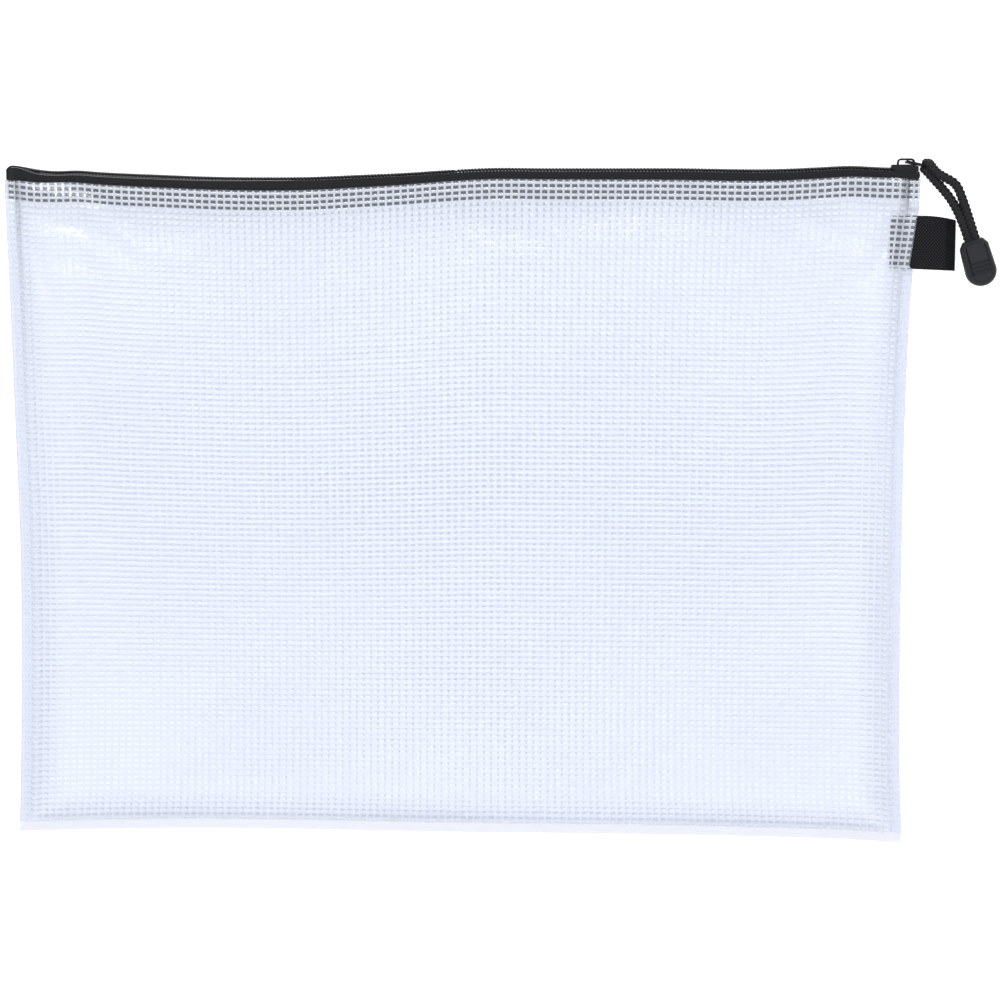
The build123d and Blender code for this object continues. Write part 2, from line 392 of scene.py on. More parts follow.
class WalletStageSettings(bpy.types.PropertyGroup):
    """Light, floor and camera."""

    key_power: FloatProperty(
        name="Key lamp",
        description="Power of the narrow lamp",
        default=2.0,
        min=0,
        unit="POWER",
    )
    fill_power: FloatProperty(
        name="Fill lamp",
        description="Power of the broad lamp",
        default=6.2,
        min=0,
        unit="POWER",
    )
    sky: FloatProperty(name="Sky", description="Strength of the even light", default=1.04, min=0)
    floor_colour: FloatVectorProperty(
        name="Floor", description="Colour of the floor", default=(0.95, 0.95, 0.95), subtype="COLOR"
    )
    floor_glow: FloatProperty(
        name="Floor glow",
        description="Light that the floor seems to give",
        default=0.5,
    )
    camera_lens: FloatProperty(name="Lens", description="Focal length", default=73.48, min=10, unit="CAMERA")


def flow(at, places, values):
    """A smooth curve through the given values."""
    places = np.array(places, float)
    values = np.array(values, float)
    slopes = np.gradient(values, places)
    span = np.clip(np.searchsorted(places, at) - 1, 0, len(places) - 2)
    width = places[span + 1] - places[span]
    t = np.clip((at - places[span]) / width, 0, 1)
    rise = values[span] * (2 * t**3 - 3 * t**2 + 1) + values[span + 1] * (3 * t**2 - 2 * t**3)
    return rise + width * (slopes[span] * (t**3 - 2 * t**2 + t) + slopes[span + 1] * (t**3 - t**2))


def ease(t):
    """From 0 to 1 with a soft start and end."""
    t = np.clip(t, 0, 1)
    return t * t * (3 - 2 * t)


def mouth_dip(x):
    """How far the zip edge sags from a straight line, in metres."""
    return MM * flow(x / MM, MOUTH_PLACES, MOUTH_DIP)


def zip_rise(x):
    """How far the zip stands higher over the hem than in the part, in metres."""
    return MM * flow(x / MM, RISE_PLACES, ZIP_RISE)


def bump(x, y, centre, size, lean=0.0):
    """A soft hill at centre, size across and along, leaning by an angle in degrees."""
    dx = x / MM - centre[0]
    dy = y / MM - centre[1]
    along = dx * cos(radians(lean)) + dy * sin(radians(lean))
    across = -dx * sin(radians(lean)) + dy * cos(radians(lean))
    return np.exp(-((along / size[0]) ** 2) - (across / size[1]) ** 2)


def crease(x, y):
    """The sheet's ripples below the zip and its soft waves, in metres: none dips into the tape."""
    below = (HEM - y) / MM
    inward = ease((below - 7) / 9)
    patches = sum(bump(x, y, centre, size) for centre, size in CREASE_PATCHES)
    ripple = np.sin(x / MM / 2.9 + 1.4 * np.sin(y / MM / 9)) + 0.7 * np.sin(x / MM / 1.9 + y / MM / 6)
    near_mouth = np.exp(-((below - 4) / 15) ** 2)
    fine = (0.02 + 0.1 * patches) * near_mouth * (ripple + 1.7 * (1 - inward))
    slant = np.sin((0.7 * x + 1.5 * y) / MM / 3.6 + 0.9 * np.sin(x / MM / 7))
    folds = 0.2 * patches * (slant + 1 - inward)
    broad = 0.14 * np.sin((x + 0.6 * y) / MM / 17) + 0.12 * np.sin((0.5 * x - y) / MM / 14) - 0.26
    hollows = 0.55 * bump(x, y, (166, 103), (14, 4), 62) + 0.5 * bump(x, y, (-166, 100), (16, 4), -70)
    return MM * (fine + folds + (broad - hollows) * inward)


def by_ribbon(y, margin, soft):
    """1 beside the ribbon and within margin of it, with soft ends."""
    return ease((y - ribbon_low.y + margin) / soft) * ease((ribbon_high.y + margin - y) / soft)


def sheet_height(x, y, settings):
    """Height of the front sheet's outer face over the seam, before the edges are drawn in."""
    mouth_share = (y - BOTTOM) / SHEET_HEIGHT
    slope = MOUTH_SLOPE + (SIDE_SLOPE - MOUTH_SLOPE) * (1 - mouth_share**4)
    side = (HALF_WIDTH - np.abs(x) - settings.weld_width) / slope
    foot = (y - BOTTOM - settings.weld_width) / FOOT_SLOPE
    t = np.clip(np.minimum(side, foot), 0, 1)
    rise = 0.45 * t + 0.55 * (1 - (1 - t) ** 2)
    low = SHEET_FOOT + settings.film_thickness
    height = low + (SEAM - low) * rise + crease(x, y) * ease(np.minimum(side, foot))
    ribbon = ease((x - (HALF_WIDTH - HUMP_LENGTH)) / HUMP_END) * by_ribbon(y, 3.2 * MM, 2.6 * MM)
    over_ribbon = ribbon_high.z - SEAM + settings.film_thickness + RIBBON_GAP
    return np.where(ribbon > 0, np.maximum(height, low + (over_ribbon - low) * ribbon), height)


def on_sheet(x, y, depth, front, settings):
    """A place on a sheet, depth inside its outer face: its flat place is x and y."""
    across = (x + HALF_WIDTH) / (2 * HALF_WIDTH)
    up = (y - BOTTOM) / SHEET_HEIGHT
    left = MM * flow(y / MM, SIDE_PLACES, LEFT_DRAW)
    right = MM * flow(y / MM, SIDE_PLACES, RIGHT_DRAW)
    foot = MM * flow(x / MM, FOOT_PLACES, FOOT_DRAW)
    height = sheet_height(x, y, settings) - depth
    share = np.clip((ribbon_high.y - y) / (ribbon_high.y - ribbon_low.y), 0, 1)
    notch = MM * (0.6 + 1.1 * share) * by_ribbon(y, 0.4 * MM, 0.8 * MM)
    place_x = x + (1 - across) ** 3 * left - across**3 * right - across**40 * notch
    place_y = y + (1 - up) ** 3 * foot + ease(up) * mouth_dip(x)
    return np.stack([place_x, place_y, SEAM + (height if front else -height)], -1)


def lift_region(x, y):
    """Which part of the front sheet a flat place is in: 0 left, 1 middle, 2 right."""
    left = (x / MM - LIFT_LEFT) / -LIFT_LEFT
    middle = (y - BOTTOM) / SHEET_HEIGHT
    right = (LIFT_RIGHT - x / MM) / LIFT_RIGHT
    return np.argmin(np.stack([left, middle, right]), 0)


LIFTS = (
    ("left", (LIFT_LEFT * MM, 0, 0), (0, 0, 0)),
    ("middle", (0, BOTTOM, 0), (0, HEM, 0)),
    ("right", (LIFT_RIGHT * MM, 0, 0), (0, 0, 0)),
)


def new_object(name, verts, faces, material, uvs=None, smooth=True):
    """A mesh object in the scene, with one place on the map for each vertex if uvs are given."""
    mesh = bpy.data.meshes.new(name)
    mesh.from_pydata([tuple(v) for v in verts], [], [tuple(int(i) for i in f) for f in faces])
    mesh.validate()
    if smooth:
        mesh.polygons.foreach_set("use_smooth", [True] * len(mesh.polygons))
        mesh.set_sharp_from_angle(angle=radians(50))
    if uvs is not None:
        layer = mesh.uv_layers.new(name="flat")
        index = np.zeros(len(mesh.loops), np.int32)
        mesh.loops.foreach_get("vertex_index", index)
        layer.data.foreach_set("uv", np.asarray(uvs, np.float32)[index].ravel())
    mesh.materials.append(material)
    piece = bpy.data.objects.new(name, mesh)
    bpy.context.scene.collection.objects.link(piece)
    return piece


def part_of(verts, faces, chosen):
    """The chosen faces with only the vertices that they use, and those vertices' old places."""
    faces = np.asarray(faces)[chosen]
    used, renumbered = np.unique(faces, return_inverse=True)
    return np.asarray(verts)[used], renumbered.reshape(faces.shape), used


def grid_faces(rows, columns, first=0, flip=False):
    """Quads of a grid of vertices that is written row by row."""
    corner = first + np.arange(rows - 1)[:, None] * columns + np.arange(columns - 1)[None, :]
    quads = np.stack([corner, corner + 1, corner + columns + 1, corner + columns], -1).reshape(-1, 4)
    return quads[:, ::-1] if flip else quads


def strip_faces(rows, sides, first=0):
    """Quads of a tube of rows rings, open at its ends."""
    ring = first + np.arange(rows - 1)[:, None] * sides
    side = np.arange(sides)[None, :]
    after = (side + 1) % sides
    quads = np.stack([ring + side, ring + after, ring + sides + after, ring + sides + side], -1)
    return quads.reshape(-1, 4)


def end_faces(rows, sides, first=0):
    """The first and the last face of a tube of rows rings."""
    last = first + (rows - 1) * sides
    return [tuple(range(first, first + sides))[::-1], tuple(range(last, last + sides))]


def tube(points, ups, radius, sides, flat=1.0):
    """Rings of a tube along points: flat squeezes it along the ups."""
    points = np.asarray(points, float)
    along = np.gradient(points, axis=0)
    along /= np.linalg.norm(along, axis=1)[:, None]
    ups = np.asarray(ups, float)
    ups = ups - (ups * along).sum(1)[:, None] * along
    ups /= np.linalg.norm(ups, axis=1)[:, None]
    aside = np.cross(along, ups)
    turn = np.arange(sides) * 2 * pi / sides
    across = np.cos(turn)[None, :, None] * aside[:, None, :]
    through = flat * np.sin(turn)[None, :, None] * ups[:, None, :]
    return (points[:, None, :] + radius * (across + through)).reshape(-1, 3)


def filled(made, values):
    """A node with its inputs set by name."""
    for name, value in values.items():
        made.inputs[name.replace("_", " ")].default_value = value
    return made


def node(tree, kind, **values):
    """A new shader node with its inputs set by name."""
    return filled(tree.nodes.new(kind), values)


def plug(tree, slot, value):
    """Feed a node's input from a socket, or set it to a number."""
    if isinstance(value, bpy.types.NodeSocket):
        tree.links.new(value, slot)
    elif value is not None:
        slot.default_value = value


def maths(tree, operation, first, second=None, clamp=False):
    """A Math node's result: each side is a socket or a number."""
    made = tree.nodes.new("ShaderNodeMath")
    made.operation = operation
    made.use_clamp = clamp
    plug(tree, made.inputs[0], first)
    plug(tree, made.inputs[1], second)
    return made.outputs[0]


def mixed(tree, share, first, second):
    """Two shaders mixed by a share, which is a socket or a number."""
    made = tree.nodes.new("ShaderNodeMixShader")
    plug(tree, made.inputs[0], share)
    plug(tree, made.inputs[1], first.outputs[0])
    plug(tree, made.inputs[2], second.outputs[0])
    return made


def put_on(tree, shader):
    """Make a shader the material's surface."""
    tree.links.new(shader.outputs[0], tree.nodes["Material Output"].inputs["Surface"])


def flat_place(tree):
    """Sockets of a surface's place across and up on the piece's flat map."""
    flat = tree.nodes.new("ShaderNodeUVMap")
    flat.uv_map = "flat"
    apart = tree.nodes.new("ShaderNodeSeparateXYZ")
    tree.links.new(flat.outputs["UV"], apart.inputs[0])
    return apart.outputs[0], apart.outputs[1]


def new_group(name, inputs, outputs):
    """An empty node group with number inputs and outputs, and its two end nodes."""
    group = bpy.data.node_groups.new(name, "ShaderNodeTree")
    for label, value in inputs:
        socket = group.interface.new_socket(label, in_out="INPUT", socket_type="NodeSocketFloat")
        socket.default_value = value
    for label in outputs:
        group.interface.new_socket(label, in_out="OUTPUT", socket_type="NodeSocketFloat")
    return group, group.nodes.new("NodeGroupInput"), group.nodes.new("NodeGroupOutput")


def weave_group():
    """Height and thread mask of a plain weave on a piece's flat map, in threads per map unit."""
    if "plain_weave" in bpy.data.node_groups:
        return bpy.data.node_groups["plain_weave"]
    group, start, end = new_group(
        "plain_weave", [("Threads across", 100.0), ("Threads along", 100.0)], ["Height", "Mask"]
    )
    rows = []
    for place, threads in zip(flat_place(group), start.outputs):
        turn = maths(group, "MULTIPLY", maths(group, "MULTIPLY", place, threads), pi)
        rows.append(maths(group, "SINE", turn))
    waves = maths(group, "MULTIPLY", *rows)
    group.links.new(maths(group, "MULTIPLY_ADD", waves, 0.5), end.inputs["Height"])
    group.links.new(maths(group, "GREATER_THAN", waves, 0.5), end.inputs["Mask"])
    return group


def ridge_group():
    """Soft ridges that the film has over the threads of the mesh."""
    if "thread_ridges" in bpy.data.node_groups:
        return bpy.data.node_groups["thread_ridges"]
    sizes = [("Pitch across", 0.003), ("Pitch down", 0.002), ("First across", 0.0), ("First down", 0.0)]
    group, start, end = new_group("thread_ridges", sizes, ["Height"])
    ridges = []
    for axis, place in enumerate(flat_place(group)):
        away = maths(group, "SUBTRACT", place, start.outputs[axis + 2])
        turns = maths(group, "DIVIDE", away, start.outputs[axis])
        wave = maths(group, "COSINE", maths(group, "MULTIPLY", turns, 2 * pi))
        hump = maths(group, "MULTIPLY", maths(group, "ADD", wave, 1.0), 0.5)
        ridges.append(maths(group, "POWER", hump, 2.0))
    group.links.new(maths(group, "MAXIMUM", *ridges), end.inputs["Height"])
    return group


def speckle_group():
    """Fine uneven grain."""
    if "fine_speckle" in bpy.data.node_groups:
        return bpy.data.node_groups["fine_speckle"]
    group, start, end = new_group("fine_speckle", [("Grains", 2000.0)], ["Grain"])
    place = group.nodes.new("ShaderNodeTexCoord")
    fine = node(group, "ShaderNodeTexNoise", Detail=2.0, Roughness=0.6)
    group.links.new(place.outputs["Object"], fine.inputs["Vector"])
    group.links.new(start.outputs[0], fine.inputs["Scale"])
    group.links.new(fine.outputs[0], end.inputs["Grain"])
    return group


def placed(tree, group, **values):
    """A node group placed in a material with its own values."""
    made = tree.nodes.new("ShaderNodeGroup")
    made.node_tree = group
    return filled(made, values)


def new_material(name, colour, roughness, specular=0.5):
    """A material, its node tree and its Principled shader with a plain colour."""
    material = bpy.data.materials.new(name)
    material.use_nodes = True
    tree = material.node_tree
    shader = tree.nodes["Principled BSDF"]
    shader.inputs["Base Color"].default_value = (*colour, 1)
    shader.inputs["Roughness"].default_value = roughness
    shader.inputs["Specular IOR Level"].default_value = specular
    return material, tree, shader


def relief(tree, shader, height, strength, distance):
    """Fine relief on a shader from a height that varies over the surface."""
    made = node(tree, "ShaderNodeBump", Strength=strength, Distance=distance)
    tree.links.new(height, made.inputs["Height"])
    tree.links.new(made.outputs[0], shader.inputs["Normal"])


def grainy(tree, shader, grains, strength, distance):
    """Fine uneven relief on a shader, with so many grains to the metre."""
    grain = placed(tree, speckle_group(), Grains=grains)
    relief(tree, shader, grain.outputs["Grain"], strength, distance)


def shaded(tree, shader, mask, dark, light):
    """Base Color between two colours by a mask."""
    blend = tree.nodes.new("ShaderNodeMix")
    blend.data_type = "RGBA"
    blend.inputs[MIX_FIRST].default_value = (*dark, 1)
    blend.inputs[MIX_SECOND].default_value = (*light, 1)
    tree.links.new(mask, blend.inputs[0])
    tree.links.new(blend.outputs[MIX_RESULT], shader.inputs["Base Color"])
    return blend


def first_threads(front):
    """Places of a sheet's first upright and first level thread: the two meshes lie out of step."""
    return (-HALF_WIDTH + 1.1 * MM, HEM - 1.3 * MM) if front else (-HALF_WIDTH + 2.1 * MM, HEM - 0.9 * MM)


def film_material(name, settings, front, weld_hazes):
    """Clear film with a little haze, more of it in the side and bottom welds, and a glossy skin."""
    material, tree, haze = new_material(name, settings.film_tint, roughness=0.35)
    across, up = flat_place(tree)
    aside = maths(tree, "SUBTRACT", HALF_WIDTH, maths(tree, "ABSOLUTE", across))
    foot = maths(tree, "SUBTRACT", up, BOTTOM)
    welds = []
    for edge in (aside, foot):
        inside = maths(tree, "SUBTRACT", edge, settings.weld_width)
        inside = maths(tree, "DIVIDE", inside, WELD_SOFT, clamp=True)
        welds.append(maths(tree, "SUBTRACT", 1.0, inside))
    beside = shaded(tree, haze, welds[0], settings.film_tint, settings.weld_tint)
    below = shaded(tree, haze, welds[1], settings.film_tint, settings.foot_tint)
    tree.links.new(beside.outputs[MIX_RESULT], below.inputs[MIX_FIRST])
    hidden = settings.film_haze
    for weld, weld_haze in zip(welds, weld_hazes):
        hidden = maths(tree, "MAXIMUM", maths(tree, "MULTIPLY", weld, weld_haze), hidden)
    clear = node(tree, "ShaderNodeBsdfTransparent", Color=(*settings.clear_tint, 1))
    body = mixed(tree, hidden, clear, haze)
    across, down = first_threads(front)
    ridges = placed(
        tree,
        ridge_group(),
        Pitch_across=settings.mesh_across,
        Pitch_down=settings.mesh_down,
        First_across=across,
        First_down=down,
    )
    skin = node(tree, "ShaderNodeBsdfGlossy", Roughness=0.08)
    relief(tree, skin, ridges.outputs["Height"], strength=1.0, distance=0.035 * MM)
    shine = node(tree, "ShaderNodeFresnel", IOR=1.5)
    put_on(tree, mixed(tree, shine.outputs[0], body, skin))
    return material


def thread_material(settings):
    """White thread of the mesh."""
    material, tree, shader = new_material("white_thread", settings.thread_colour, roughness=0.5)
    grainy(tree, shader, grains=900.0, strength=0.15, distance=0.05 * MM)
    shader.inputs["Alpha"].default_value = settings.thread_cover
    through = node(tree, "ShaderNodeBsdfTranslucent", Color=(*settings.thread_colour, 1))
    put_on(tree, mixed(tree, settings.thread_glow, shader, through))
    return material


def places_across(step):
    """Places along the width, closer together at the sides where the sheet slopes."""
    side = np.linspace(HALF_WIDTH - FINE_STRETCH, HALF_WIDTH, 18)
    middle = np.linspace(-side[0], side[0], int(2 * side[0] / step) + 1)
    return np.concatenate([-side[::-1], middle[1:-1], side])


def places_up(step):
    """Places along the height, closer together at the foot and by the ribbon's edges."""
    foot = np.linspace(BOTTOM, BOTTOM + FINE_STRETCH, 15)
    low = np.linspace(-4 * MM, 1 * MM, 7) + ribbon_low.y
    high = np.linspace(-1 * MM, 4 * MM, 7) + ribbon_high.y
    first = np.linspace(foot[-1], low[0], int((low[0] - foot[-1]) / step) + 1)
    second = np.linspace(low[-1], high[0], int((high[0] - low[-1]) / step) + 1)
    third = np.linspace(high[-1], HEM, int((HEM - high[-1]) / step) + 1)
    return np.concatenate([foot, first[1:], low[1:], second[1:], high[1:], third[1:]])


def film_mesh(front, settings):
    """One sheet's outer face with a lip: vertices, faces, flat places and each face's flat middle."""
    xs = places_across(2.2 * MM)
    ys = places_up(2.1 * MM)
    y, x = np.meshgrid(ys, xs, indexing="ij")
    rows, columns = x.shape
    outer = on_sheet(x, y, 0.0, front, settings).reshape(-1, 3)
    inner = on_sheet(x, y, settings.film_thickness, front, settings).reshape(-1, 3)
    index = np.arange(rows * columns).reshape(rows, columns)
    around = np.concatenate([index[0, :-1], index[:-1, -1], index[-1, :0:-1], index[:0:-1, 0]])
    lip = rows * columns + np.arange(len(around))
    rim = np.stack([around, lip, np.roll(lip, -1), np.roll(around, -1)], -1)
    faces = np.concatenate([grid_faces(rows, columns, 0, not front), rim if front else rim[:, ::-1]])
    flat = np.stack([x.ravel(), y.ravel()], -1)
    flat = np.concatenate([flat, flat[around]])
    return np.concatenate([outer, inner[around]]), faces, flat, flat[faces].mean(1)


def mesh_threads(front, settings):
    """Upright and level threads of one sheet's mesh, as flat strips inside the film."""
    margin = 0.5 * MM
    first_upright, first_level = first_threads(front)
    up = np.clip(places_up(4.2 * MM), BOTTOM + margin, HEM - 0.2 * MM)
    across = np.clip(places_across(4.4 * MM), -HALF_WIDTH + margin, HALF_WIDTH - margin)
    runs = []
    for place in np.arange(first_upright, HALF_WIDTH - margin, settings.mesh_across):
        waver = 0.03 * MM * np.sin(place * 9000 + up * 40)
        runs.append((place + waver, up, False))
    for place in np.arange(first_level, BOTTOM + margin, -settings.mesh_down):
        waver = 0.025 * MM * np.sin(place * 8000 + across * 50)
        runs.append((across, place + waver, True))
    verts, faces, flat = [], [], []
    first = 0
    for x, y, level in runs:
        deep = settings.film_thickness * (0.38 if level else 0.62)
        half = (settings.level_width if level else settings.upright_width) / 2
        for side in (-half, half):
            place_x, place_y = (x, y + side) if level else (x + side, y)
            verts.append(on_sheet(place_x, place_y, deep, front, settings))
            flat.append(np.stack([x, y], -1))
        corner = first + np.arange(len(x) - 1)
        strip = np.stack([corner, corner + 1, corner + len(x) + 1, corner + len(x)], -1)
        faces.append(strip if level == front else strip[:, ::-1])
        first += 2 * len(x)
    verts, faces, flat = np.concatenate(verts), np.concatenate(faces), np.concatenate(flat)
    return verts, faces, flat, flat[faces].mean(1)


class WALLET_OT_sheets(bpy.types.Operator):
    """Make both sheets: clear film and the white thread mesh inside it"""

    bl_idname = "wallet.sheets"
    bl_label = "Sheets"

    def execute(self, context):
        settings = context.scene.wallet_sheet
        film = film_material("front_film", settings, True, (settings.weld_haze, settings.foot_haze))
        fused = film_material("back_film", settings, False, (settings.fused_haze, settings.fused_haze))
        thread = thread_material(settings)
        verts, faces, flat, _ = film_mesh(False, settings)
        back = new_object("back_film", verts, faces, fused, flat)
        verts, faces, _, _ = mesh_threads(False, settings)
        threads = new_object("back_threads", verts, faces, thread, smooth=False)
        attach(back, "back")
        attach(threads, "back")
        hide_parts("back_panel")
        for make, name, material in ((film_mesh, "film", film), (mesh_threads, "threads", thread)):
            verts, faces, flat, middles = make(True, settings)
            regions = lift_region(middles[:, 0], middles[:, 1])
            for number, (side, start, end) in enumerate(LIFTS):
                some, few, used = part_of(verts, faces, regions == number)
                label = f"front_{name}_{side}"
                piece = new_object(label, some, few, material, flat[used], smooth=name == "film")
                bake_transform(piece)
                if name == "film":
                    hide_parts("front_panel")
        for side, start, end in LIFTS:
            piece = bpy.data.objects[f"front_film_{side}"]
        return {"FINISHED"}


def band_height(x):
    """Height of the tape's visible band over the hem: it rises over the coil's end at the left."""
    end_rise = MM * 1.3 * (1 - ease((x / MM + 171) / 9))
    return tape_high.y - HEM + zip_rise(x) + end_rise


def band_corner(x):
    """Highest place of the zip edge near its rounded left-hand end."""
    radius = 3.6 * MM
    top = tape_high.y + 2.9 * MM
    along = np.clip(x + tape_high.x, 0, radius)
    return top - radius + np.sqrt(radius**2 - (radius - along) ** 2)


def pressed(x):
    """1 along the zip, and less towards its left-hand end, where it is pressed flat."""
    return 1 - 0.72 * ease((-171.5 * MM - x) / (4.5 * MM))


def tape_mesh(front, start, stop, sheet):
    """A tape from start to stop along the zip: flat across the mouth, bent, and laid behind the hem."""
    outside = tape_high.z - SEAM
    inside = outside - TAPE_THICKNESS
    near = 0.7 * MM
    tight = TAPE_BEND - TAPE_THICKNESS
    centre = outside - TAPE_BEND
    band = tape_high.y - HEM
    even = np.linspace(start, stop, max(24, int((stop - start) / (1.2 * MM))))
    ends = np.linspace(0, 9 * MM, 19)
    x = np.unique(np.concatenate([even, ends - tape_high.x, tape_high.x - ends]).round(6))
    x = x[(x >= start) & (x <= stop)]
    turns = np.linspace(0, pi / 2, 7)
    legs = (HEM - 0.4 * MM, (HEM + tape_low.y) / 2, tape_low.y)
    outline = [(1.0, None, near), (1.0, None, 1.7 * MM)]
    outline += [(1 + TAPE_BEND * (cos(t) - 1) / band, None, centre + TAPE_BEND * sin(t)) for t in turns]
    outline += [(0.26, None, outside), (0.04, None, outside)]
    outline += [(None, y, outside) for y in legs] + [(None, y, inside) for y in legs[::-1]]
    outline += [(0.04, None, inside)]
    back = turns[::-1]
    outline += [(1 - (TAPE_BEND - tight * cos(t)) / band, None, centre + tight * sin(t)) for t in back]
    outline += [(1 - TAPE_THICKNESS / band, None, near)]
    right = ease((tape_high.x - x) / (1.2 * MM))
    rings, lengths = [], []
    for share, leg, out in outline:
        if leg is None:
            y = np.minimum(HEM + share * band_height(x), band_corner(x))
            y = y + (1 - share) * (1 - right) * 0.5 * MM
            deep = out * pressed(x)
        else:
            y = np.full_like(x, leg)
            room = sheet_height(x, y, sheet) - sheet.film_thickness - 0.04 * MM
            deep = np.clip(np.minimum(out, room - (outside - out)), 0.004 * MM, None)
        rings.append(np.stack([x, y + mouth_dip(x), SEAM + (1 if front else -1) * deep], -1))
        lengths.append(y[len(y) // 2] - out)
    sides = len(outline)
    faces = list(strip_faces(len(x), sides))
    first, last = end_faces(len(x), sides)
    if start < -HALF_WIDTH / 2:
        faces.append(first)
    if stop > HALF_WIDTH / 2:
        faces.append(last)
    if not front:
        faces = [f[::-1] for f in faces]
    uvs = np.stack([np.repeat(x, sides), np.tile(lengths, len(x))], -1)
    return np.stack(rings, 1).reshape(-1, 3), faces, uvs


def coil_mesh(front, start, stop, settings):
    """One side's filament coil with the cord that it is sewn round."""
    pitch = settings.coil_pitch
    radius = settings.wire_diameter / 2
    shift = 0.0 if front else pitch / 2
    steps = 14
    wire_sides = 6
    core_sides = 8
    turns = int((stop - start) / pitch)
    angle = np.arange(turns * steps + 1) * 2 * pi / steps
    x = start + shift + angle / (2 * pi) * pitch
    near = -0.75 * MM + radius
    far = 2.05 * MM - radius
    low = coil_low.y + radius
    high = coil_high.y - radius
    shrink = 0.25 + 0.75 * ease((x + 174.5 * MM) / (4.5 * MM))
    middle = (near + far) / 2
    out = middle + (far - near) / 2 * np.cos(angle)
    lift = mouth_dip(x) + zip_rise(x)
    y = low + (high - low) * shrink * (0.5 + 0.5 * np.sin(angle)) + lift
    y = np.minimum(y, band_corner(x) + mouth_dip(x) - radius)
    side = 1 if front else -1
    centre_y = low + (high - low) * shrink / 2 + lift
    centre = np.stack([x, centre_y, np.full_like(x, SEAM + side * middle)], -1)
    line = np.stack([x, y, SEAM + side * out], -1)
    wire = tube(line, line - centre, radius, wire_sides)
    along = np.linspace(start, stop, max(12, int((stop - start) / (2 * MM))))
    level = (low + high) / 2 + mouth_dip(along) + zip_rise(along)
    core = np.stack([along, level, np.full_like(along, SEAM + side * 1.1 * MM)], -1)
    ups = np.tile((0.0, 1.0, 0.0), (len(core), 1))
    filler = tube(core, ups, radius=0.62 * MM, sides=core_sides, flat=0.34)
    faces = [strip_faces(len(line), wire_sides), strip_faces(len(core), core_sides, len(wire))]
    return np.concatenate([wire, filler]), np.concatenate(faces)


def stitch_mesh(front, start, stop, settings):
    """Short stitches that hold the coil to its tape, in a row that rolls over the top to the right; their
    grey, lighter than the tape, is a painted highlight standing in for glints along the zip edge.
    """
    x = np.arange(start + 0.8 * MM, stop, settings.stitch_pitch)
    side = 1 if front else -1
    roll = 0.6 + (pi / 2 - 0.6) * ease((x + 125 * MM) / (100 * MM))
    share = 1 + TAPE_BEND * (np.sin(roll) - 1) / (tape_high.y - HEM)
    y = HEM + share * band_height(x) + mouth_dip(x)
    out = (tape_high.z - SEAM - TAPE_BEND + TAPE_BEND * np.cos(roll)) * pressed(x)
    half = settings.stitch_pitch * 0.26
    rows, sides = 5, 4
    span = np.linspace(-half, half, rows)
    verts, faces = [], []
    for number in range(len(x)):
        level = SEAM + side * out[number]
        line = np.stack([x[number] + span, np.full(rows, y[number]), np.full(rows, level)], -1)
        normal = (0.0, sin(roll[number]), side * cos(roll[number]))
        sunk = 0.4 * MM * ease((roll[number] - 1.1) / 0.4)
        line = line + np.outer(0.05 * MM * (1 - (span / half) ** 2) - sunk, normal)
        begin = sum(len(v) for v in verts)
        faces += [*strip_faces(rows, sides, begin), *end_faces(rows, sides, begin)]
        verts.append(tube(line, np.tile(normal, (rows, 1)), 0.12 * MM, sides))
    return np.concatenate(verts), faces


class WALLET_OT_zip(bpy.types.Operator):
    """Make the zip: two tapes, two coils and their stitches"""

    bl_idname = "wallet.zip"
    bl_label = "Zip"

    def execute(self, context):
        settings = context.scene.wallet_zip
        tape, tree, shader = new_material("zip_tape", settings.tape_colour, roughness=0.7, specular=0.12)
        weave = placed(tree, weave_group(), Threads_across=2600.0, Threads_along=2600.0)
        relief(tree, shader, weave.outputs["Height"], strength=0.35, distance=0.08 * MM)
        # The coil's colour is lifted above the tape's to cancel its own shade: painted light
        coil, tree, shader = new_material("zip_coil", settings.coil_colour_painted_light, roughness=0.45, specular=0.3)
        grainy(tree, shader, grains=1500.0, strength=0.1, distance=0.03 * MM)
        # Real stitches, made grey to stand in for the glints along the zip edge: a painted highlight
        stitch, tree, shader = new_material("sewing_thread_glint", settings.stitch_glint_colour, roughness=0.7)
        grainy(tree, shader, grains=4000.0, strength=0.3, distance=0.04 * MM)
        ends = (-tape_high.x, tape_high.x)
        comb = (coil_low.x, coil_high.x)
        left, _, right = LIFTS
        runs = (
            ("back", "", "back_tape", "back_coil", ends, comb, None),
            ("front", "_left", "front_tape", "front_coil", (ends[0], 0.0), (comb[0], 0.0), left),
            ("front", "_right", "front_tape", "front_coil", (0.0, ends[1]), (0.0, comb[1]), right),
        )
        for layer, side, tape_node, coil_node, cloth_run, coil_run, lift in runs:
            front = layer == "front"
            verts, faces, uvs = tape_mesh(front, *cloth_run, context.scene.wallet_sheet)
            cloth = new_object(f"{layer}_tape_cloth{side}", verts, faces, tape, uvs)
            verts, faces = coil_mesh(front, *coil_run, settings)
            wire = new_object(f"{layer}_coil_wire{side}", verts, faces, coil)
            verts, faces = stitch_mesh(front, *coil_run, settings)
            row = new_object(f"{layer}_stitches{side}", verts, faces, stitch, smooth=False)
            pieces = ((cloth, tape_node, "zip_tape"), (wire, coil_node, "zip_coil"), (row, None, "zip_tape"))
            for piece, stands_for, slot in pieces:
                if lift:
                    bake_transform(piece)
                else:
                    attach(piece, "back")
                if stands_for:
                    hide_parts(stands_for)
        return {"FINISHED"}


